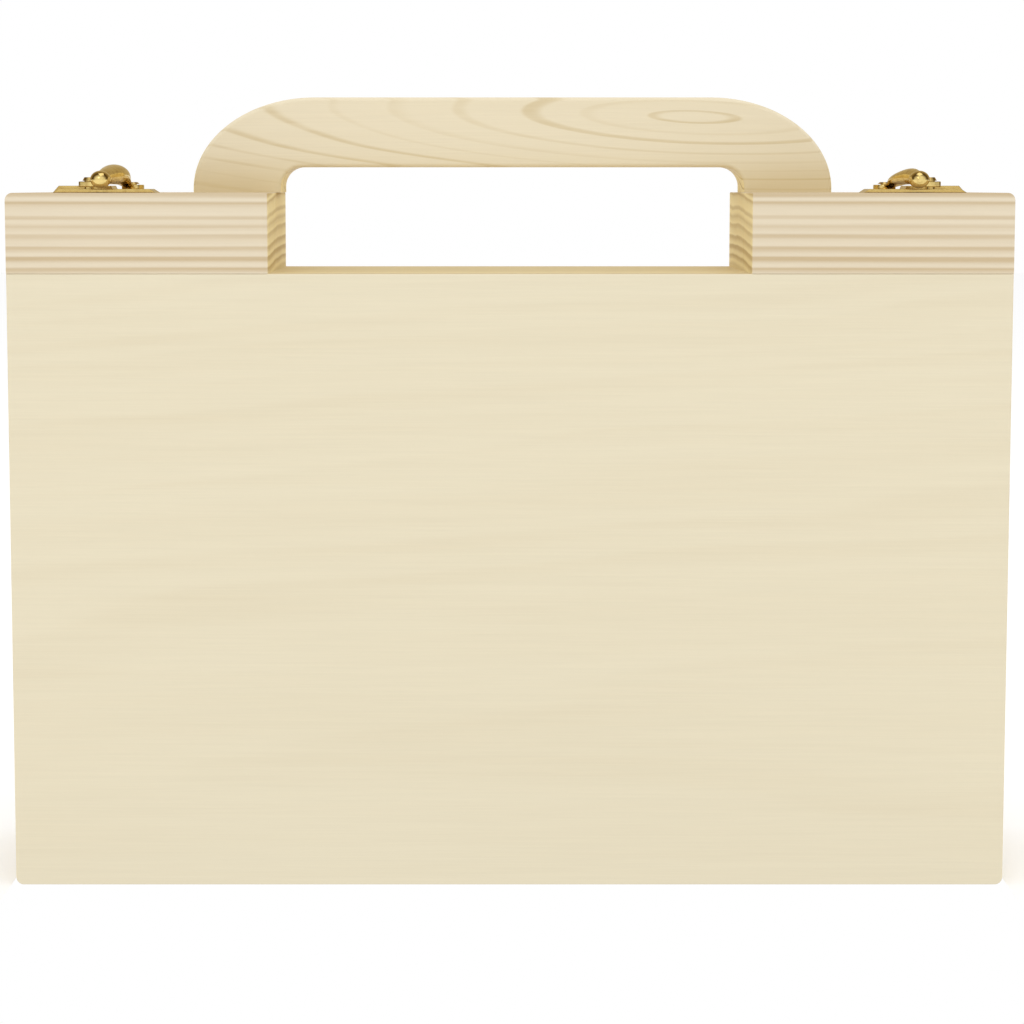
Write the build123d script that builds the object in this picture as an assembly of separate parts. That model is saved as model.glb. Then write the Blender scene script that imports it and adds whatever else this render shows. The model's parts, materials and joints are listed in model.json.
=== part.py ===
"""A box easel for a table, closed: a pine carrying case whose front half is a hinged lid.

Millimetres. X runs to the right, -Y is the lid's side, +Z is up, and the origin is under the
middle of the standing case. In use the case lies on its back panel, with the lid raised.
"""

import os
from math import atan2, cos, degrees, hypot, radians, sin

from build123d import *

# The case
case_width = 400.0
case_height = 280.0
lid_depth = 28.0
base_depth = 50.0
seam_gap = 0.4
wall = 12.0
panel = 4.0
corner_radius = 3.0
soft_edge = 0.6

# The top: two solid blocks with a notch between them, and the handle across it
block_width = 104.0
block_height = 32.0
handle_width = 263.0
handle_rise = 39.0
handle_bar = 28.5
handle_thickness = 21.0
handle_offset = 6.0
handle_corner_x = 50.0
handle_corner_z = 37.5
handle_inner_radius = 8.0
handle_middle = 1.5
handle_gap = 190.0
dowel_radius = 4.0
dowel_length = 30.0
dowel_depth = 16.0

# Hinges, with their barrels let into a V groove under the seam
lid_opening = 110.0
hinge_z = 3.2
hinge_x = 120.0
hinge_length = 40.0
barrel_radius = 2.5
hinge_pin_radius = 1.2
leaf_thickness = 1.2
knuckles = 5
knuckle_gap = 0.2
running_fit = 0.05
free_gap = 0.3

# Lid stays: notched arms that pivot in the lid and drop over pins in the base
stay_pivot_up = 60.0
stay_pivot_in = 12.0
stay_pin_up = 110.0
stay_pin_in = 9.0
stay_width = 12.0
stay_thickness = 1.6
stay_side_gap = 2.0
stay_pin_radius = 2.5
stay_notches = 3
stay_notch_pitch = 14.0
stay_notch_lean = -27.0
stay_pivot_radius = 2.0

# Latches: a swinging hook with a ball knob, on the base, and a keeper post on the lid
pivot_x, pivot_y = 156.0, 3.0
post_x, post_y = 168.8, -26.5
ball_x, ball_y = 162.7, -34.5
keeper_plate_thickness = 1.5
latch_plate_thin = 1.0
latch_plate_thick = 2.8
eye_radius = 4.6
eye_thickness = 1.9
finger_low, finger_high = 2.3, 4.5
finger_width = 3.0
post_radius = 1.9
rivet_radius = 1.6
ball_radius = 4.1
ball_half_height = 3.5
ball_height = 5.3
arm_course = ((157.2, -0.5), (159.2, -4.5), (160.2, -11.5), (161.4, -20.0), (162.2, -27.5), (162.6, -33.0))
arm_half_widths = (2.4, 3.9, 5.2, 4.6, 3.2, 2.2)
left_arm_heights = (2.6, 5.2, 7.2, 7.2, 6.5, 5.6)
left_arm_thickness = (0.9, 2.4, 3.9, 3.8, 3.1, 2.0)
right_arm_heights = (2.4, 4.0, 5.4, 6.4, 6.4, 5.6)
right_arm_thickness = (0.8, 1.5, 2.3, 3.1, 3.1, 2.0)

# Inside the lid: a ledge for the canvas and a clamp on a slotted rail
ledge_width = 300.0
ledge_thickness = 6.0
lip_thickness = 3.5
lip_height = 14.0
lip_set_back = 2.0
rail_width = 44.0
rail_thickness = 6.0
clamp_z = 228.0
clamp_travel = 120.0
clamp_width = 64.0
clamp_height = 12.0
clamp_lip_drop = 4.5
bolt_radius = 2.3
bolt_head = 10.0
nut_radius = 7.0

# Inside the base: compartments, and a palette held by two turn buttons
divider = 4.0
rim_to_palette = 3.8
palette_thickness = 4.0
palette_half_width = 176.0
palette_bottom, palette_top = 82.0, 232.0
tray_top = 80.0
tray_divider_x = 64.0
upper_divider_x = -40.0
cross_divider_z = 158.0
button_z = 185.0
button_thickness = 1.8
button_reach = 13.0
button_width = 8.0

# Worked out from the above
half_width = case_width / 2
inner_x = half_width - wall
front_y = -(lid_depth + base_depth) / 2
back_y = -front_y
seam_y = front_y + lid_depth
lid_rim = seam_y - seam_gap / 2
base_rim = seam_y + seam_gap / 2
lid_floor = front_y + panel
base_floor = back_y - panel
body_height = case_height - block_height
rail_low = body_height - wall
notch_x = half_width - block_width
palette_y = base_rim + rim_to_palette
divider_y = palette_y + palette_thickness


def box(x, y, z):
    """A box from three (low, high) pairs."""
    middle = [(low + high) / 2 for low, high in (x, y, z)]
    size = [high - low for low, high in (x, y, z)]
    return Pos(*middle) * Box(*size)


def rod(start, end, radius, end_radius=None):
    """A round bar, or a cone, between two points."""
    run = Vector(*end) - Vector(*start)
    round_bar = Cylinder(radius, run.length, align=(Align.CENTER, Align.CENTER, Align.MIN))
    if end_radius is not None:
        round_bar = Cone(radius, end_radius, run.length, align=(Align.CENTER, Align.CENTER, Align.MIN))
    return Plane(origin=start, z_dir=run) * round_bar


def across(x, y, z, half_length, radius):
    """A round bar along X."""
    return rod((x - half_length, y, z), (x + half_length, y, z), radius)


def mirrored(piece):
    """The left-hand twin of a right-hand piece."""
    return mirror(piece, about=Plane.YZ)


def case_outline():
    """The closed case with its four long corners rounded, as seen from the front."""
    whole = box((-half_width, half_width), (front_y, back_y), (0, case_height))
    return fillet(whole.edges().filter_by(Axis.Y), corner_radius)


def seam_groove():
    """The V groove under the seam, which lets the lid turn past a right angle."""
    lean = radians((180 - lid_opening) / 2)
    apex = seam_gap / 2 / cos(lean)
    depth = 2 * hinge_z
    spread = (apex + depth) * cos(lean) / sin(lean)
    points = [(seam_y, hinge_z + apex), (seam_y + spread, hinge_z - depth), (seam_y - spread, hinge_z - depth)]
    face = Plane.YZ.offset(-half_width - 1) * make_face(Polyline(*points, close=True))
    return extrude(face, case_width + 2)


def finger_slots(y_low, y_high, count, first):
    """Every other slice of a corner joint, which one of its two boards gives up."""
    pitch = (y_high - y_low) / count
    return [(y_low + i * pitch, y_low + (i + 1) * pitch) for i in range(first, count, 2)]


def side_wall(y_low, y_high, fingers):
    """The right-hand side board of one half, with its fingers at the bottom and top corners."""
    board = box((inner_x, half_width), (y_low, y_high), (0, body_height))
    for slot in finger_slots(y_low, y_high, fingers, 1):
        board -= box((inner_x, half_width), slot, (0, wall))
        board -= box((inner_x, half_width), slot, (rail_low, body_height))
    return board & case_outline()


def cross_rail(y_low, y_high, fingers, z_low):
    """The top or bottom board of one half."""
    board = box((-half_width, half_width), (y_low, y_high), (z_low, z_low + wall))
    for slot in finger_slots(y_low, y_high, fingers, 0):
        board -= box((inner_x, half_width), slot, (z_low, z_low + wall))
        board -= box((-half_width, -inner_x), slot, (z_low, z_low + wall))
    return board & case_outline()


def cover_panel(y_low, y_high, outer):
    """A plywood panel over the full face of one half, up to the blocks."""
    board = box((-half_width, half_width), (y_low, y_high), (0, body_height)) & case_outline()
    face = board.faces().sort_by(Axis.Y)[outer]
    return fillet(face.edges(), soft_edge)


def top_block(y_low, y_high):
    """The solid right-hand block on top of one half, beside the notch."""
    board = box((notch_x, half_width), (y_low, y_high), (body_height, case_height)) & case_outline()
    notch_face = board.faces().sort_by(Axis.X)[0]
    edges = [edge for edge in notch_face.edges() if edge.center().Z > body_height + 1]
    return fillet(edges, soft_edge)


def hinge_spans():
    """The X spans of the knuckles, in order, about the hinge's middle."""
    pitch = hinge_length / knuckles
    first = -hinge_length / 2
    return [(first + i * pitch + knuckle_gap / 2, first + (i + 1) * pitch - knuckle_gap / 2) for i in range(knuckles)]


def hinge_pocket():
    """Room for a barrel in the bottom boards, for the right-hand hinge."""
    return across(hinge_x, seam_y, hinge_z, hinge_length / 2 + free_gap, barrel_radius + free_gap)


def hinge_recess(rim, inward):
    """The mortise for one leaf, open at the rim and at the board's inner face."""
    y = sorted((rim, rim + inward * leaf_thickness))
    x = (hinge_x - hinge_length / 2, hinge_x + hinge_length / 2)
    return box(x, y, (hinge_z, wall))


def hinge_screws(rim, inward):
    """Three countersunk screws through one leaf, for the right-hand hinge."""
    group = []
    for step in (-1, 0, 1):
        x = hinge_x + step * hinge_length / 3
        neck = rim + inward * leaf_thickness
        screw = rod((x, rim, 9), (x, neck, 9), 2.0, 1.1) + rod((x, neck, 9), (x, rim + inward * 11, 9), 1.1)
        slot = box((x - 2, x + 2), sorted((rim, rim + inward * 0.4)), (8.75, 9.25))
        group.append(screw - slot)
    return group


def hinge_leaf(rim, inward, own):
    """One leaf of the right-hand hinge, with every other knuckle, and bores for its pin."""
    bore = hinge_pin_radius + (running_fit if own == 1 else 0)
    leaf = hinge_recess(rim, inward)
    spans = hinge_spans()
    for index, (low, high) in enumerate(spans):
        middle, half = hinge_x + (low + high) / 2, (high - low) / 2
        if index % 2 == own:
            leaf += across(middle, seam_y, hinge_z, half, barrel_radius)
        else:
            leaf -= across(middle, seam_y, hinge_z, half + knuckle_gap, barrel_radius + free_gap)
    leaf -= across(hinge_x, seam_y, hinge_z, hinge_length, bore)
    for screw in hinge_screws(rim, inward):
        leaf -= screw
    return leaf


def hinge_pin():
    """The pin of the right-hand hinge."""
    return across(hinge_x, seam_y, hinge_z, hinge_length / 2 - knuckle_gap / 2, hinge_pin_radius)


def handle():
    """The flat arched handle board: a bar on two legs, with rounded shoulders."""
    top = case_height + handle_rise
    side = handle_width / 2
    under = top - handle_bar
    shoulder_x, shoulder_z = side - handle_corner_x, top - handle_corner_z
    legs = Pos(0, (case_height + shoulder_z) / 2) * Rectangle(handle_width, shoulder_z - case_height)
    outline = legs + Pos(0, (case_height + top) / 2) * Rectangle(2 * shoulder_x, top - case_height)
    for x in (-shoulder_x, shoulder_x):
        outline += Pos(x, shoulder_z) * Ellipse(handle_corner_x, handle_corner_z)
    outline &= Pos(0, (case_height + top) / 2) * Rectangle(handle_width, top - case_height)
    board = extrude(Plane.XZ * outline, handle_thickness / 2, both=True)
    half_gap = handle_gap / 2
    gap = box((-half_gap, half_gap), (-handle_thickness, handle_thickness), (case_height - 1, under))
    shoulders = [edge for edge in gap.edges().filter_by(Axis.Y) if edge.center().Z > under - 1]
    board -= fillet(shoulders, handle_inner_radius)
    soft = [edge for edge in board.edges() if edge.bounding_box().max.Z > case_height + 0.5]
    soft = [edge for edge in soft if abs(edge.bounding_box().size.Y) < 0.01]
    board = fillet(soft, 1.6)
    return Pos(handle_middle, handle_offset, 0) * board


def handle_dowels():
    """Two dowels in each leg, glued down into the base's blocks."""
    group = []
    middle = (notch_x + handle_width / 2) / 2
    for side in (-1, 1):
        for step in (-9, 9):
            x = side * middle + step + handle_middle
            low = case_height - dowel_depth
            group.append(rod((x, handle_offset, low), (x, handle_offset, low + dowel_length), dowel_radius))
    return group


def plate(y_low, y_high, outline):
    """A brass plate on top of a right-hand block, from its outline in X and height."""
    points = [(x, case_height + height) for x, height in outline]
    face = Plane.XZ * make_face(Polyline(*points, close=True))
    return Pos(0, (y_low + y_high) / 2, 0) * extrude(face, (y_high - y_low) / 2, both=True)


def keeper_plate():
    """The lid's plate: thin, with sloped ends."""
    top = keeper_plate_thickness
    return plate(-31, -18, [(141.5, 0), (182.7, 0), (180.4, top), (143.8, top)])


def latch_plate():
    """The base's plate: thin under the hook's eye, thicker at its outer end."""
    thin, thick = latch_plate_thin, latch_plate_thick
    outline = [(147.5, 0), (188.0, 0), (185.5, thick), (164.0, thick), (163.2, thin), (148.5, thin)]
    return plate(-4, 9, outline)


def plate_pins(y, thickness, left_x, right_x):
    """Two flush pins that hold a plate down."""
    group = []
    for x in (left_x, right_x):
        top = case_height + thickness
        group.append(rod((x, y, top), (x, y, top - 1.0), 1.7, 0.8) + rod((x, y, top - 1.0), (x, y, top - 12), 0.8))
    return group


def keeper_post():
    """The mushroom-headed post that the hook's finger catches, riveted through the keeper plate."""
    under_head = case_height + finger_high + free_gap
    post = rod((post_x, post_y, case_height - 3), (post_x, post_y, under_head), post_radius)
    head = rod((post_x, post_y, under_head), (post_x, post_y, under_head + 1.4), 2.6, 1.8)
    return post + head


def latch_pivot():
    """The low-headed rivet on which the hook turns."""
    under_head = case_height + latch_plate_thin + free_gap + eye_thickness + free_gap
    rivet = rod((pivot_x, pivot_y, case_height - 3), (pivot_x, pivot_y, under_head), rivet_radius)
    return rivet + rod((pivot_x, pivot_y, under_head), (pivot_x, pivot_y, under_head + 0.8), 2.8, 1.9)


def hook_arm(heights, thickness):
    """The arched arm from the eye, over the seam, to the ball."""
    middles = [Vector(x, y, case_height + height) for (x, y), height in zip(arm_course, heights)]
    sections = []
    for number, middle in enumerate(middles):
        ahead = middles[min(number + 1, len(middles) - 1)]
        behind = middles[max(number - 1, 0)]
        run = ahead - behind
        across_arm = Vector(-run.Y, run.X, 0)
        section = Ellipse(arm_half_widths[number], thickness[number])
        sections.append(Plane(origin=middle, x_dir=across_arm, z_dir=run) * section)
    return loft(sections)


def hook_finger():
    """The flat finger that reaches from the ball around the front of the keeper post."""
    low, high = case_height + finger_low, case_height + finger_high
    reach = hypot(post_x - pivot_x, post_y - pivot_y)
    inner = reach + post_radius + free_gap
    middle = inner + finger_width / 2
    ring = rod((pivot_x, pivot_y, low), (pivot_x, pivot_y, high), inner + finger_width)
    ring -= rod((pivot_x, pivot_y, low - 1), (pivot_x, pivot_y, high + 1), inner)
    end_angle = radians(-65.5)
    end_x = pivot_x + middle * cos(end_angle)
    end_y = pivot_y + middle * sin(end_angle)
    start = (2 * ball_x - pivot_x, 2 * ball_y - pivot_y)
    stop = (2 * end_x - pivot_x, 2 * end_y - pivot_y)
    wedge = make_face(Polyline((pivot_x, pivot_y), start, stop, close=True))
    ring &= Pos(0, 0, low) * extrude(wedge, high - low)
    return ring + rod((end_x, end_y, low), (end_x, end_y, high), finger_width / 2)


def latch_hook(heights, thickness):
    """The cast hook: an eye, an arched arm over the seam, a ball knob and a finger."""
    low = case_height + latch_plate_thin + free_gap
    eye = rod((pivot_x, pivot_y, low), (pivot_x, pivot_y, low + eye_thickness), eye_radius)
    half = Ellipse(ball_radius, ball_half_height) & (Pos(ball_radius / 2, 0) * Rectangle(ball_radius, 9))
    ball = Pos(ball_x, ball_y, case_height + ball_height) * revolve(Plane.XZ * half, Axis.Z)
    hook = eye + hook_arm(heights, thickness) + ball + hook_finger()
    above_eye = case_height + 12
    hook -= rod((pivot_x, pivot_y, low - 1), (pivot_x, pivot_y, above_eye), rivet_radius + running_fit)
    return hook - rod((pivot_x, pivot_y, low + eye_thickness), (pivot_x, pivot_y, above_eye), 3.1)


def stay_length():
    """From a stay's pivot to the pin in the base, with the lid fully open."""
    turn = radians(lid_opening)
    open_y = -stay_pivot_in * cos(turn) - stay_pivot_up * sin(turn)
    open_z = -stay_pivot_in * sin(turn) + stay_pivot_up * cos(turn)
    return hypot(stay_pin_in - open_y, stay_pin_up - open_z)


def stay_arm():
    """The right-hand stay, folded away upwards inside the lid."""
    reach = stay_length()
    end = reach + 3
    outline = Pos(0, end / 2) * Rectangle(stay_width, end)
    outline += Circle(stay_width / 2)
    outline += Pos(0, end) * Circle(stay_width / 2)
    outline -= Circle(stay_pivot_radius + running_fit)
    slot_radius = stay_pin_radius + free_gap
    for index in range(stay_notches):
        notch = Circle(slot_radius) + Pos(stay_width / 2, 0) * Rectangle(stay_width, 2 * slot_radius)
        outline -= Pos(0, reach - index * stay_notch_pitch) * Rot(0, 0, stay_notch_lean) * notch
    x = inner_x - stay_side_gap - stay_thickness
    origin = (x, seam_y - stay_pivot_in, hinge_z + stay_pivot_up)
    return extrude(Plane(origin=origin, x_dir=(0, 1, 0), z_dir=(1, 0, 0)) * outline, stay_thickness)


def stay_pivot_screw():
    """The shouldered screw on which the right-hand stay turns."""
    y, z = seam_y - stay_pivot_in, hinge_z + stay_pivot_up
    face = inner_x - stay_side_gap - stay_thickness - free_gap
    shank = rod((face, y, z), (inner_x + 8, y, z), stay_pivot_radius)
    head = rod((face - 1.6, y, z), (face, y, z), 3.4, 4.4)
    return head + shank - box((face - 1.6, face - 1.1), (y - 0.4, y + 0.4), (z - 5, z + 5))


def stay_spacer():
    """The washer that holds the right-hand stay off the lid's side board."""
    y, z = seam_y - stay_pivot_in, hinge_z + stay_pivot_up
    ring = rod((inner_x - stay_side_gap + free_gap, y, z), (inner_x, y, z), 4.6)
    return ring - rod((inner_x - stay_side_gap, y, z), (inner_x + 1, y, z), stay_pivot_radius)


def stay_rest_pin():
    """The headed pin in the base that a notch of the right-hand stay drops over."""
    y, z = seam_y + stay_pin_in, hinge_z + stay_pin_up
    face = inner_x - stay_side_gap - stay_thickness - 2 * free_gap
    shank = rod((face, y, z), (inner_x, y, z), stay_pin_radius)
    head = rod((face - 1.4, y, z), (face, y, z), 3.6, 4.4)
    return head + shank + rod((inner_x, y, z), (inner_x + 8, y, z), 1.6)


def canvas_ledge():
    """The ledge beside the hinges that a canvas board stands on."""
    half = ledge_width / 2
    front = lid_rim - lip_set_back - lip_thickness
    return box((-half, half), (lid_floor, front), (wall, wall + ledge_thickness))


def canvas_lip():
    """The strip that keeps a canvas board on the ledge."""
    half = ledge_width / 2
    front = lid_rim - lip_set_back
    strip = box((-half, half), (front - lip_thickness, front), (wall, wall + lip_height))
    top = [edge for edge in strip.edges().filter_by(Axis.X) if edge.center().Z > wall + 1]
    return fillet(top, 1.2)


def clamp_rail():
    """The middle rail, with a T slot for the clamp's bolt."""
    front = lid_floor + rail_thickness
    board = box((-rail_width / 2, rail_width / 2), (lid_floor, front), (wall + ledge_thickness, rail_low))
    low, high = clamp_z - clamp_travel, clamp_z
    neck = bolt_radius + free_gap
    head = bolt_head / 2 + 0.4
    board -= box((-neck, neck), (lid_floor, front), (low - neck, high + neck))
    board -= box((-head, head), (lid_floor, lid_floor + 3), (low - head, high + head))
    return board


def clamp_bolt():
    """A square-headed bolt that slides in the rail's slot."""
    head_y = lid_floor + 0.2
    head = box((-bolt_head / 2, bolt_head / 2), (head_y, head_y + 2.6), (clamp_z - bolt_head / 2, clamp_z + bolt_head / 2))
    return head + rod((0, head_y + 2.6, clamp_z), (0, lid_rim - 1, clamp_z), bolt_radius)


def clamp_block():
    """The block that comes down on a canvas board, with a lip over its edge."""
    back = lid_floor + rail_thickness + free_gap
    front = back + 9.5
    x = (-clamp_width / 2, clamp_width / 2)
    low, high = clamp_z - clamp_height / 2, clamp_z + clamp_height / 2
    piece = box(x, (back, front), (low, high)) + box(x, (front, front + 3), (low - clamp_lip_drop, high))
    ends = [edge for edge in piece.edges().filter_by(Axis.Y) if abs(edge.center().X) > clamp_width / 2 - 1]
    piece = fillet([edge for edge in ends if edge.center().Z > high - 1], 2.0)
    return piece - rod((0, back - 1, clamp_z), (0, front + 4, clamp_z), bolt_radius)


def thumb_nut():
    """The grooved round nut that locks the clamp."""
    front = lid_floor + rail_thickness + free_gap + 12.5
    start, end = front + 0.2, lid_rim - 0.6
    nut = rod((0, start, clamp_z), (0, end, clamp_z), nut_radius)
    grooves = 20
    for index in range(grooves):
        turn = radians(360 / grooves * index)
        x, z = (nut_radius + 0.4) * cos(turn), clamp_z + (nut_radius + 0.4) * sin(turn)
        nut -= rod((x, start - 1, z), (x, end + 1, z), 0.9)
    return nut - rod((0, start - 1, clamp_z), (0, end + 1, clamp_z), bolt_radius + running_fit)


def upright_divider(x, z_low, z_high):
    """A thin board across the base, edge on to the palette."""
    return box((x - divider / 2, x + divider / 2), (divider_y, base_floor), (z_low, z_high))


def level_divider(x_low, x_high, z_low):
    """A thin board along the base."""
    return box((x_low, x_high), (divider_y, base_floor), (z_low, z_low + divider))


def palette():
    """The plywood palette, with a thumb hole."""
    x, z = (-palette_half_width, palette_half_width), (palette_bottom, palette_top)
    board = box(x, (palette_y, palette_y + palette_thickness), z)
    board = fillet(board.edges().filter_by(Axis.Y), 8)
    hole = Plane.XZ * Pos(112, 118) * Ellipse(20, 13)
    return board - extrude(hole, case_width, both=True)


def button_block():
    """The block beside the palette that carries the right-hand turn button."""
    return box((inner_x - 9.6, inner_x), (palette_y - 0.5, base_floor), (button_z - 14, button_z + 14))


def button_screw():
    """The screw on which the right-hand turn button turns."""
    x, top = inner_x - 5, palette_y - 0.7 - button_thickness - 0.1
    shank = rod((x, top, button_z), (x, top + 14, button_z), 1.5)
    head = rod((x, top - 0.8, button_z), (x, top, button_z), 2.2, 3.0)
    return head + shank - box((x - 4, x + 4), (top - 0.8, top - 0.4), (button_z - 0.35, button_z + 0.35))


def turn_button():
    """The right-hand turn button, turned in over the palette's edge."""
    x, top = inner_x - 5, palette_y - 0.7
    half = button_width / 2
    low = top - button_thickness
    button = rod((x, low, button_z), (x, top, button_z), half)
    button += box((x - button_reach + half, x), (low, top), (button_z - half, button_z + half))
    button += rod((x - button_reach + half, low, button_z), (x - button_reach + half, top, button_z), half)
    return button - rod((x, low - 1, button_z), (x, top + 1, button_z), 1.5 + running_fit)


def both_sides(name, piece):
    """A right-hand piece and its left-hand twin, under their own names."""
    return {name + "_right": piece, name + "_left": mirrored(piece)}


def in_pairs(pieces):
    """One node of right-hand pieces and their left-hand twins, as separate solids."""
    return Compound(children=[*pieces, *[mirrored(piece) for piece in pieces]])


def without(piece, tools):
    """A piece with holes where other pieces go into it."""
    for tool in tools:
        piece -= tool
    return piece


def lid_pieces():
    """The lid's case, its hinge leaves and its keepers."""
    screws = hinge_screws(lid_rim, -1)
    pivot_screw = stay_pivot_screw()
    pins = plate_pins(-24.5, keeper_plate_thickness, 147.5, 178.0)
    post = keeper_post()
    bottom = cross_rail(lid_floor, lid_rim, 3, 0) - seam_groove()
    for piece in (hinge_pocket(), hinge_recess(lid_rim, -1), *screws):
        bottom = bottom - piece - mirrored(piece)
    pieces = {
        "lid_front_panel": cover_panel(front_y, lid_floor, 0),
        "lid_top_rail": cross_rail(lid_floor, lid_rim, 3, rail_low),
        "lid_bottom_rail": bottom,
        "lid_hinge_screws": in_pairs(screws),
        "stay_pivot_screws": in_pairs([pivot_screw]),
        "stay_spacers": in_pairs([stay_spacer()]),
        "keeper_pins": in_pairs(pins),
    }
    pieces |= both_sides("lid_side", side_wall(lid_floor, lid_rim, 3) - seam_groove() - pivot_screw)
    pieces |= both_sides("lid_block", without(top_block(front_y, lid_rim), [*pins, post]))
    pieces |= both_sides("lid_hinge_leaf", hinge_leaf(lid_rim, -1, 1))
    pieces |= both_sides("keeper_plate", without(keeper_plate(), [*pins, post]))
    pieces |= both_sides("keeper_post", post)
    return pieces


def base_pieces():
    """The base's case, its hinge leaves and pins, the handle and the latch plates."""
    screws = hinge_screws(base_rim, 1)
    rest_pin = stay_rest_pin()
    pins = plate_pins(2.5, latch_plate_thick, 167.5, 181.5)
    pivot = latch_pivot()
    dowels = handle_dowels()
    bottom = cross_rail(base_rim, base_floor, 5, 0) - seam_groove()
    for piece in (hinge_pocket(), hinge_recess(base_rim, 1), *screws):
        bottom = bottom - piece - mirrored(piece)
    pieces = {
        "base_back_panel": cover_panel(base_floor, back_y, -1),
        "base_top_rail": cross_rail(base_rim, base_floor, 5, rail_low),
        "base_bottom_rail": bottom,
        "base_hinge_screws": in_pairs(screws),
        "stay_rest_pins": in_pairs([rest_pin]),
        "latch_pins": in_pairs(pins),
        "handle": without(handle(), dowels),
        "handle_dowels": Compound(children=dowels),
    }
    pieces |= both_sides("base_side", side_wall(base_rim, base_floor, 5) - seam_groove() - rest_pin)
    pieces |= both_sides("base_block", without(top_block(base_rim, back_y), [*pins, pivot]))
    for name in ("base_block_right", "base_block_left"):
        pieces[name] = without(pieces[name], dowels)
    pieces |= both_sides("base_hinge_leaf", hinge_leaf(base_rim, 1, 0))
    pieces |= both_sides("hinge_pin", hinge_pin())
    pieces |= both_sides("latch_plate", without(latch_plate(), [*pins, pivot]))
    pieces |= both_sides("latch_pivot", pivot)
    return pieces


def easel_pieces():
    """What turns the lid into an easel, and the pieces that swing, turn and slide."""
    pieces = {
        "canvas_ledge": canvas_ledge(),
        "canvas_lip": canvas_lip(),
        "clamp_rail": clamp_rail(),
        "clamp_bolt": clamp_bolt(),
        "clamp_block": clamp_block(),
        "thumb_nut": thumb_nut(),
    }
    pieces |= both_sides("stay_arm", stay_arm())
    pieces["latch_hook_right"] = latch_hook(right_arm_heights, right_arm_thickness)
    pieces["latch_hook_left"] = mirrored(latch_hook(left_arm_heights, left_arm_thickness))
    return pieces


def storage_pieces():
    """The compartments, the palette over them, and what holds the palette."""
    screw = button_screw()
    above_tray = tray_top + divider
    pieces = {
        "long_divider": level_divider(-inner_x, inner_x, tray_top),
        "upper_divider": upright_divider(upper_divider_x, above_tray, rail_low),
        "cross_divider": level_divider(upper_divider_x + divider / 2, inner_x, cross_divider_z),
        "palette_cleats": box((-150, 150), (divider_y, divider_y + 8), (rail_low - 8, rail_low))
        - upright_divider(upper_divider_x, above_tray, rail_low),
        "palette": palette(),
        "button_screws": in_pairs([screw]),
    }
    pieces |= both_sides("tray_divider", upright_divider(tray_divider_x, wall, tray_top))
    pieces |= both_sides("button_block", button_block() - screw)
    pieces |= both_sides("turn_button", turn_button())
    return pieces


def main():
    """Writes one STEP file for each sub-part."""
    os.makedirs("parts", exist_ok=True)
    for name, piece in (lid_pieces() | base_pieces() | easel_pieces() | storage_pieces()).items():
        export_step(piece, f"parts/{name}.step")


main()
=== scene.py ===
"""A closed box easel of pale pine and plywood with brass latches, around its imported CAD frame.

Metres, in the CAD frame: X right, -Y out of the lid, +Z up, standing on z = 0.
"""

import json
import math

import bpy
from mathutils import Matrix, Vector


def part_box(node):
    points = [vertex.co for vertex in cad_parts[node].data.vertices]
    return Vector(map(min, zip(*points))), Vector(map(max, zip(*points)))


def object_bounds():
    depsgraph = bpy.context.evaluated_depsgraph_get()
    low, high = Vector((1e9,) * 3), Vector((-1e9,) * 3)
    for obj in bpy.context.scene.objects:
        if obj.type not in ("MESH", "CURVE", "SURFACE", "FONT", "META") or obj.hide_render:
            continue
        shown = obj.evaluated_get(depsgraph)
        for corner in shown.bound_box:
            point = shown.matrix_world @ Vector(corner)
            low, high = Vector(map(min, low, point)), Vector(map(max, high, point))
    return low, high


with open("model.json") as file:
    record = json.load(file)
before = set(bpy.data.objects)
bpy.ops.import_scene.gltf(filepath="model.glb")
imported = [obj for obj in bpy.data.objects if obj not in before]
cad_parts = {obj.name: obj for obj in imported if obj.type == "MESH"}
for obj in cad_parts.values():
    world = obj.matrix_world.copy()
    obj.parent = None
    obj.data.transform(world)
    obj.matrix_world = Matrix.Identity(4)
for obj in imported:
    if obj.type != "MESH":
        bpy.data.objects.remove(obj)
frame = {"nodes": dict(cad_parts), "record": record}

MM = 0.001
SPLIT = -0.011  # where the lid meets the base
FLOOR_REACH = 6.0
GAP_FRONT = -0.30  # just past the end of the open lid
cad_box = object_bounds()

# Colours, as sRGB out of 255: pale and darker parts of a ring
PINE = ((226, 213, 186), (205, 183, 144))
PLY = ((227, 217, 190), (215, 201, 170))
BEECH = ((229, 217, 189), (204, 184, 141))
BLOCK = ((226, 213, 188), (197, 175, 138))
RAIL = ((224, 206, 160), (206, 184, 134))
END_GRAIN = (237, 217, 156)
END_RING = (180, 148, 82)
CORE_PLY = (203, 180, 132)
GLUE = (160, 130, 86)

# What the brass sees of the room, as linear RGBA
WHITE = (1, 1, 1, 1)
ROOM_GOLD = (0.62, 0.53, 0.36, 1)
ROOM_TAN = (0.32, 0.24, 0.12, 1)
ROOM_DARK = (0.12, 0.08, 0.035, 1)


def linear(rgb):
    """An sRGB colour out of 255 as linear RGBA."""
    channels = [c / 255 for c in rgb]
    return [c / 12.92 if c <= 0.04045 else ((c + 0.055) / 1.055) ** 2.4 for c in channels] + [1.0]


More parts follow.
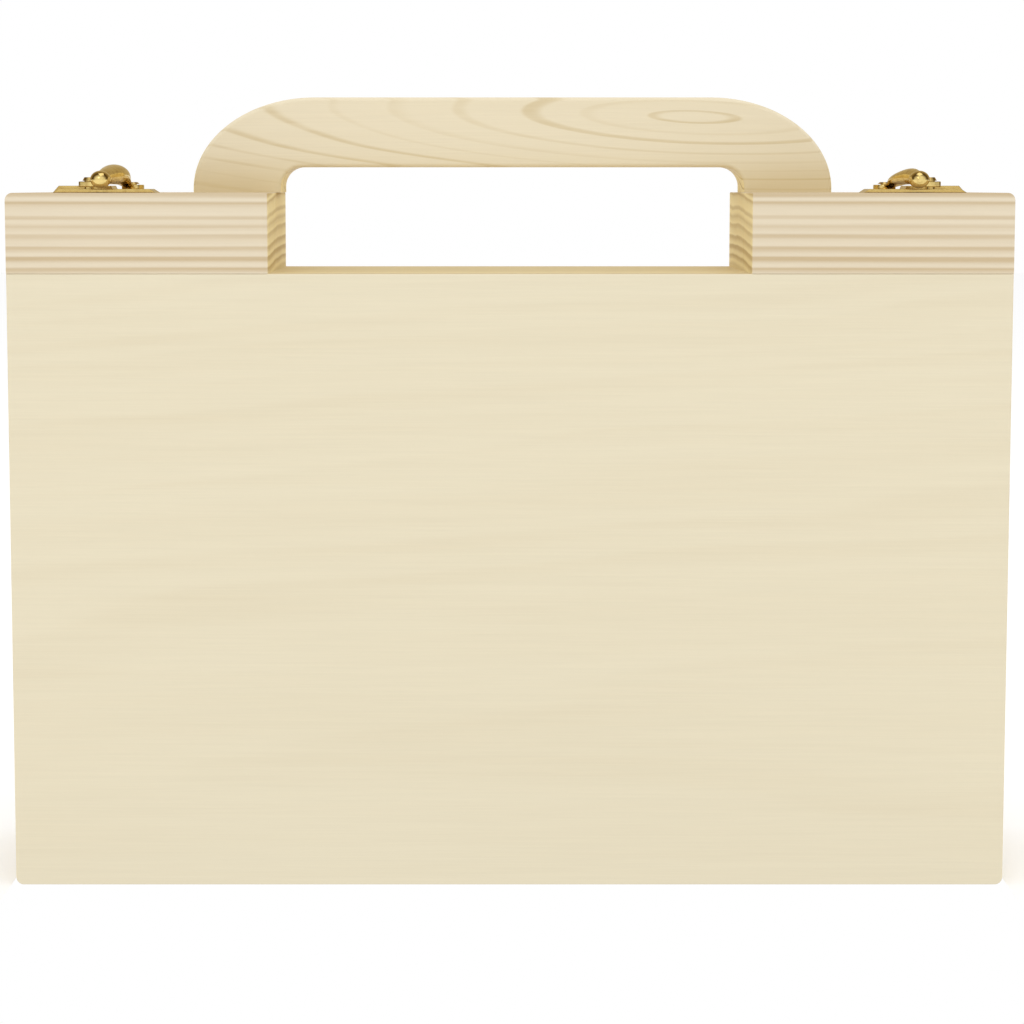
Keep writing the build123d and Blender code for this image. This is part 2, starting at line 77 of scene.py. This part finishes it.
class Nodes:
    """A node tree, with one short call for each kind of step."""

    def __init__(self, tree):
        self.tree = tree

    def add(self, kind, *values, **settings):
        """A node with its settings, whose inputs take the values or links in order."""
        node = self.tree.nodes.new(kind)
        for key, value in settings.items():
            setattr(node, key, value)
        for socket, value in zip(node.inputs, values):
            self.put(socket, value)
        return node

    def put(self, socket, value):
        """Links a socket, or sets its value; None leaves it alone."""
        if isinstance(value, bpy.types.NodeSocket):
            self.tree.links.new(value, socket)
        elif value is not None:
            socket.default_value = value

    def math(self, operation, *values):
        return self.add("ShaderNodeMath", *values, operation=operation).outputs[0]

    def vector(self, operation, *values):
        node = self.add("ShaderNodeVectorMath", *values, operation=operation)
        return node.outputs["Value" if operation in ("LENGTH", "DOT_PRODUCT") else "Vector"]

    def split(self, vector):
        return self.add("ShaderNodeSeparateXYZ", vector).outputs

    def noise(self, vector, scale, detail=2.0, roughness=0.5):
        """Noise about zero, from -0.5 to 0.5."""
        node = self.add("ShaderNodeTexNoise", vector)
        self.put(node.inputs["Scale"], scale)
        self.put(node.inputs["Detail"], detail)
        self.put(node.inputs["Roughness"], roughness)
        return self.math("SUBTRACT", node.outputs["Fac"], 0.5)

    def step(self, value, low, high, start=0.0, end=1.0):
        """A smooth rise from start to end as value goes from low to high."""
        node = self.add("ShaderNodeMapRange", value, low, high, start, end, interpolation_type="SMOOTHSTEP")
        return node.outputs["Result"]

    def mix(self, share, first, second):
        """A mix of two colours; the node's sockets 6 and 7 are its colour inputs."""
        node = self.add("ShaderNodeMix", data_type="RGBA")
        self.put(node.inputs["Factor"], share)
        self.put(node.inputs[6], first)
        self.put(node.inputs[7], second)
        return node.outputs[2]


class Paint(Nodes):
    """A material's node tree, with its shader and the object's own coordinates."""

    def __init__(self, name):
        self.material = bpy.data.materials.new(name)
        self.material.use_nodes = True
        super().__init__(self.material.node_tree)
        self.shader = self.tree.nodes["Principled BSDF"]
        self.place = self.add("ShaderNodeTexCoord").outputs["Object"]
        self.normal = self.add("ShaderNodeTexCoord").outputs["Normal"]

    def bump(self, height, distance, strength):
        """Fine relief of the surface, distance in metres."""
        node = self.add("ShaderNodeBump")
        self.put(node.inputs["Strength"], strength)
        self.put(node.inputs["Distance"], distance)
        self.put(node.inputs["Height"], height)
        self.put(self.shader.inputs["Normal"], node.outputs["Normal"])


AXES = {"X": (1, 0, 0), "Y": (0, 1, 0), "Z": (0, 0, 1)}
CROSS = {"X": ("Y", "Z"), "Y": ("X", "Z"), "Z": ("X", "Y")}


def ring_lines(g, grain, pith, pitch, slope, wander, width):
    """How dark the rings are, from 0 to about 1, around a pith line along the grain.

    pith is a point that the pith line passes through, slope is its drift across the grain for
    each metre along it, pitch is the width of a ring, wander is how far a ring strays in
    pitches, and width is the dark share of a ring. Some years are fainter than others.
    """
    position = dict(zip("XYZ", g.split(g.vector("SUBTRACT", g.place, pith))))
    offsets = []
    for axis, drift in zip(CROSS[grain], slope):
        shifted = g.math("SUBTRACT", position[axis], g.math("MULTIPLY", position[grain], drift))
        offsets.append(shifted)
    across = g.add("ShaderNodeCombineXYZ", *offsets, 0.0).outputs[0]
    stretch = [0.12 if a else 1.0 for a in AXES[grain]]
    broad = g.noise(g.vector("MULTIPLY", g.place, stretch), 22.0, 2.0)
    radius = g.math("ADD", g.vector("LENGTH", across), g.math("MULTIPLY", broad, wander * pitch))
    rings = g.math("DIVIDE", radius, pitch)
    uneven = g.add("ShaderNodeTexNoise", noise_dimensions="1D")
    g.put(uneven.inputs["W"], rings)
    g.put(uneven.inputs["Scale"], 0.7)
    rings = g.math("ADD", rings, g.math("MULTIPLY", uneven.outputs["Fac"], 0.8))
    phase = g.math("FRACT", rings)
    rise = g.step(phase, 1 - width, 1 - 0.4 * width)
    line = g.math("MULTIPLY", rise, g.step(phase, 1 - 0.3 * width, 1.0, 1.0, 0.0))
    year = g.add("ShaderNodeTexNoise", noise_dimensions="1D")
    g.put(year.inputs["W"], g.math("ADD", rings, 40.0))
    g.put(year.inputs["Scale"], 0.8)
    return g.math("MULTIPLY", line, g.step(year.outputs["Fac"], 0.35, 0.62, 0.4, 1.1))


def wood(name, grain, rings, colours, contrast=1.0, layers=None, low_tan=None):
    """Sanded wood: rings, fibres, pores and golden end grain.

    rings holds the settings of ring_lines after the grain. layers is (axis, middle, thickness)
    of a plywood board, whose middle ply has its grain across and shows at the edges. low_tan is
    (low, high): the wood is tanner below the first height and plain above the second.
    """
    g = Paint(name)
    along = AXES[grain]
    stretch = [0.12 if a else 1.0 for a in along]
    fibres = [0.018 if a else 1.0 for a in along]
    dark = ring_lines(g, grain, *rings)
    fine = g.noise(g.vector("MULTIPLY", g.place, fibres), 1500.0, 3.0, 0.6)
    streak = g.noise(g.vector("MULTIPLY", g.place, fibres), 260.0, 3.0, 0.6)
    blotch = g.noise(g.vector("MULTIPLY", g.place, stretch), 30.0, 3.0)
    share = g.math("MULTIPLY", dark, g.math("ADD", 0.75, g.math("MULTIPLY", streak, 0.8)))
    soft = g.math("ADD", g.math("MULTIPLY", blotch, 0.45), g.math("MULTIPLY", streak, 0.30))
    share = g.math("ADD", g.math("MULTIPLY", share, contrast), soft)
    colour = g.mix(g.step(share, -0.25, 1.15), linear(colours[0]), linear(colours[1]))
    tone = g.math("ADD", 1.0, g.math("MULTIPLY", fine, 0.08))
    colour = g.vector("SCALE", colour, None, None, tone)
    facing = g.math("ABSOLUTE", g.vector("DOT_PRODUCT", g.normal, along))
    end = g.step(facing, 0.6, 0.95)
    if layers:
        axis, middle, thickness = layers
        depth = g.split(g.place)["XYZ".index(axis)]
        inside = g.math("ABSOLUTE", g.math("SUBTRACT", depth, middle))
        core = g.step(inside, thickness * 0.17, thickness * 0.23, 1.0, 0.0)
        edge = g.math("ABSOLUTE", g.vector("DOT_PRODUCT", g.normal, AXES[axis]))
        colour = g.mix(g.step(edge, 0.4, 0.8, 0.75, 0.0), colour, linear(CORE_PLY))
        colour = g.mix(g.math("MULTIPLY", core, 0.6), colour, linear(CORE_PLY))
        glue = g.math("MULTIPLY", g.step(inside, thickness * 0.17, thickness * 0.2), core)
        colour = g.mix(g.math("MULTIPLY", glue, 0.8), colour, linear(GLUE))
    if low_tan:
        height = g.split(g.place)["Z"]
        colour = g.mix(g.step(height, *low_tan, 0.6, 0.0), colour, linear(RAIL[1]))
    ends = g.mix(g.math("MULTIPLY", dark, 0.70), linear(END_GRAIN), linear(END_RING))
    colour = g.mix(g.math("MULTIPLY", end, 0.85), colour, ends)
    pores = g.noise(g.place, 1900.0, 2.0)
    colour = g.mix(g.math("MULTIPLY", end, g.step(pores, 0.08, 0.3, 0.0, 0.25)), colour, linear(GLUE))
    g.put(g.shader.inputs["Base Color"], colour)
    g.put(g.shader.inputs["Roughness"], g.math("ADD", 0.62, g.math("MULTIPLY", streak, 0.22)))
    g.shader.inputs["Specular IOR Level"].default_value = 0.3
    relief = g.math("ADD", g.math("MULTIPLY", fine, 0.6), g.math("MULTIPLY", dark, 0.2))
    g.bump(g.math("ADD", relief, g.math("MULTIPLY", streak, 0.5)), 0.00010, 0.7)
    return g.material


def brass(name, tint, stain, roughness, wear):
    """Cast or rolled brass with fine scratches and a little tarnish."""
    g = Paint(name)
    cloud = g.noise(g.place, 420.0, 4.0, 0.6)
    scratches = g.noise(g.vector("MULTIPLY", g.place, (0.15, 1.0, 0.6)), 5200.0, 2.0)
    colour = g.mix(g.step(cloud, -0.1, 0.35, 0.0, 0.8 * wear), linear(tint), linear(stain))
    g.put(g.shader.inputs["Base Color"], colour)
    g.shader.inputs["Metallic"].default_value = 1.0
    rough = g.math("ADD", roughness, g.math("MULTIPLY", g.math("ADD", cloud, scratches), 0.12 * wear))
    g.put(g.shader.inputs["Roughness"], rough)
    g.bump(g.math("ADD", scratches, g.math("MULTIPLY", cloud, 2.0)), 0.00002, 0.5)
    return g.material


def dress(node, material):
    """Gives a CAD node its only material."""
    mesh = frame["nodes"][node].data
    mesh.materials.clear()
    mesh.materials.append(material)


def board(node, number, colours, ply):
    """A material for one board, with the grain along its longest side and its own rings."""
    low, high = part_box(node)
    sizes = [b - a for a, b in zip(low, high)]
    middle = [(a + b) / 2 for a, b in zip(low, high)]
    grain = "XYZ"[sizes.index(max(sizes))]
    thin = sizes.index(min(sizes))
    turn = 2.4 * number
    pith = list(middle)
    for axis, reach in zip(CROSS[grain], (math.cos(turn), math.sin(turn))):
        pith["XYZ".index(axis)] += 0.045 * reach
    slope = (0.03 * math.sin(turn), 0.02 * math.cos(3 * turn))
    if ply:
        pith[thin] += 0.25
        layers = ("XYZ"[thin], middle[thin], sizes[thin])
        return wood(node, grain, (pith, 7 * MM, slope, 2.5, 0.9), colours, 0.3, layers)
    if node.endswith("top_rail"):
        colours = RAIL
    return wood(node, grain, (pith, 3.2 * MM, slope, 1.4, 0.6), colours, 0.8)


def all_wood():
    """Every board with its own rings, as cut from its own place in a tree."""
    rings = ((0, 0.034, -0.5), 4.25 * MM, (0.0, 0.0), 1.0, 0.95)
    block = wood("pine_block", "X", rings, BLOCK, 0.95)
    rings = ((0.078, -0.005, 0.311), 3.8 * MM, (-0.14, -0.03), 1.9, 0.34)
    handle = wood("handle_board", "X", rings, BEECH, 0.7, None, (0.280, 0.300))
    rings = ((0, -0.3, 0.05), 6 * MM, (0.02, 0.05), 3.0, 0.9)
    front = wood("front_plywood", "X", rings, PLY, 0.22, ("Y", -0.037, 0.004))
    own = {"handle": handle, "lid_front_panel": front}
    for side in ("left", "right"):
        own["lid_block_" + side] = block
        own["base_block_" + side] = block
    finishes = {"pine": PINE, "plywood": PLY, "handle_wood": BEECH}
    for number, entry in enumerate(frame["record"]["subparts"]):
        node, finish = entry["node"], entry["material_slot"]
        if node in own:
            dress(node, own[node])
        elif finish in finishes:
            dress(node, board(node, number, finishes[finish], finish == "plywood"))


def round_edges(node, width):
    """A small soft edge all round a CAD node, whose facets are first joined."""
    piece = frame["nodes"][node]
    weld = piece.modifiers.new("weld", "WELD")
    weld.merge_threshold = 0.000002
    bevel = piece.modifiers.new("soft_edges", "BEVEL")
    bevel.width = width
    bevel.segments = 2
    bevel.limit_method = "ANGLE"
    bevel.angle_limit = math.radians(32)


def cast(node):
    """A cast piece: its facets melt into one smooth skin."""
    piece = frame["nodes"][node]
    weld = piece.modifiers.new("weld", "WELD")
    weld.merge_threshold = 0.000002
    skin = piece.modifiers.new("skin", "REMESH")
    skin.mode = "VOXEL"
    skin.voxel_size = 0.22 * MM
    skin.use_smooth_shade = True
    smooth = piece.modifiers.new("polish", "SMOOTH")
    smooth.factor = 0.5
    smooth.iterations = 6


def metal():
    """All the brass: cast hooks, rolled plates and turned pins."""
    tint, stain = (232, 206, 134), (150, 110, 44)
    polished = brass("polished_brass", tint, stain, 0.11, 0.8)
    rolled = brass("rolled_brass", (214, 186, 116), stain, 0.22, 0.6)
    for entry in frame["record"]["subparts"]:
        node = entry["node"]
        if entry["material_slot"] != "brass":
            continue
        if node.startswith("latch_hook"):
            dress(node, polished)
            cast(node)
        elif node.startswith(("latch_plate", "keeper_plate")):
            dress(node, rolled)
            round_edges(node, 0.25 * MM)
        else:
            dress(node, rolled)


def light(name, place, target, size, power):
    """A square softbox at a place, facing a target."""
    data = bpy.data.lights.new(name, "AREA")
    data.shape = "SQUARE"
    data.size = size
    data.energy = power
    lamp = bpy.data.objects.new(name, data)
    lamp.location = place
    lamp.rotation_mode = "QUATERNION"
    lamp.rotation_quaternion = (Vector(target) - Vector(place)).to_track_quat("-Z", "Y")
    bpy.context.scene.collection.objects.link(lamp)


def room():
    """A white room, in which polished brass sees gold behind, dark sides and light elsewhere."""
    world = bpy.data.worlds.new("room")
    bpy.context.scene.world = world
    world.use_nodes = True
    g = Nodes(world.node_tree)
    towards = g.split(g.add("ShaderNodeTexCoord").outputs["Generated"])
    ahead = g.add("ShaderNodeMapRange", towards["Y"], 1.0, -1.0).outputs["Result"]
    tones = g.add("ShaderNodeValToRGB", ahead)
    stops = tones.color_ramp.elements
    for position, colour in ((0.28, ROOM_TAN), (0.42, ROOM_DARK), (0.60, ROOM_DARK), (0.84, WHITE)):
        stops.new(position).color = colour
    stops[0].color = ROOM_GOLD
    below = g.add("ShaderNodeMapRange", towards["Z"], -0.2, -0.5).outputs["Result"]
    seen_in_brass = g.mix(below, tones.outputs["Color"], WHITE)
    glossy = g.add("ShaderNodeLightPath").outputs["Is Glossy Ray"]
    background = g.tree.nodes["Background"]
    g.put(background.inputs["Color"], g.mix(glossy, WHITE, seen_in_brass))
    background.inputs["Strength"].default_value = 1.0


def studio():
    """A pale floor with a gap in front, which the lid opens down through, and soft light."""
    scene = bpy.context.scene
    scene.view_settings.view_transform = "Standard"
    mesh = bpy.data.meshes.new("floor")
    reach = FLOOR_REACH
    side = cad_box[1][0] + 2 * MM
    outer = [(-reach, -reach), (reach, -reach), (reach, reach), (-reach, reach)]
    gap = [(-side, GAP_FRONT), (side, GAP_FRONT), (side, SPLIT), (-side, SPLIT)]
    points = [(x, y, 0) for x, y in outer + gap]
    mesh.from_pydata(points, [], [(i, (i + 1) % 4, 4 + (i + 1) % 4, 4 + i) for i in range(4)])
    floor = bpy.data.objects.new("floor", mesh)
    scene.collection.objects.link(floor)
    g = Paint("floor_paint")
    g.shader.inputs["Base Color"].default_value = (0.97, 0.97, 0.97, 1)
    g.shader.inputs["Roughness"].default_value = 0.9
    g.shader.inputs["Specular IOR Level"].default_value = 0.0
    mesh.materials.append(g.material)
    room()
    light("overhead", (0.2, -0.3, 2.6), (0, 0, 0), 1.6, 10.0)
    light("key", (-0.5, -1.5, 1.0), (0, 0, 0.2), 0.5, 1.2)


def camera():
    """Nearly level, at the height of the case's top, straight on to the lid."""
    data = bpy.data.cameras.new("camera")
    data.lens = 74.45
    data.sensor_width = 36
    data.shift_x = 0.0291
    data.shift_y = -0.16
    data.clip_start = 0.01
    eye = bpy.data.objects.new("camera", data)
    eye.location = (-0.0110, -0.8790, 0.2830)
    eye.rotation_euler = (math.radians(85.60), 0, 0)
    bpy.context.scene.collection.objects.link(eye)
    bpy.context.scene.camera = eye


all_wood()
metal()
studio()
camera()
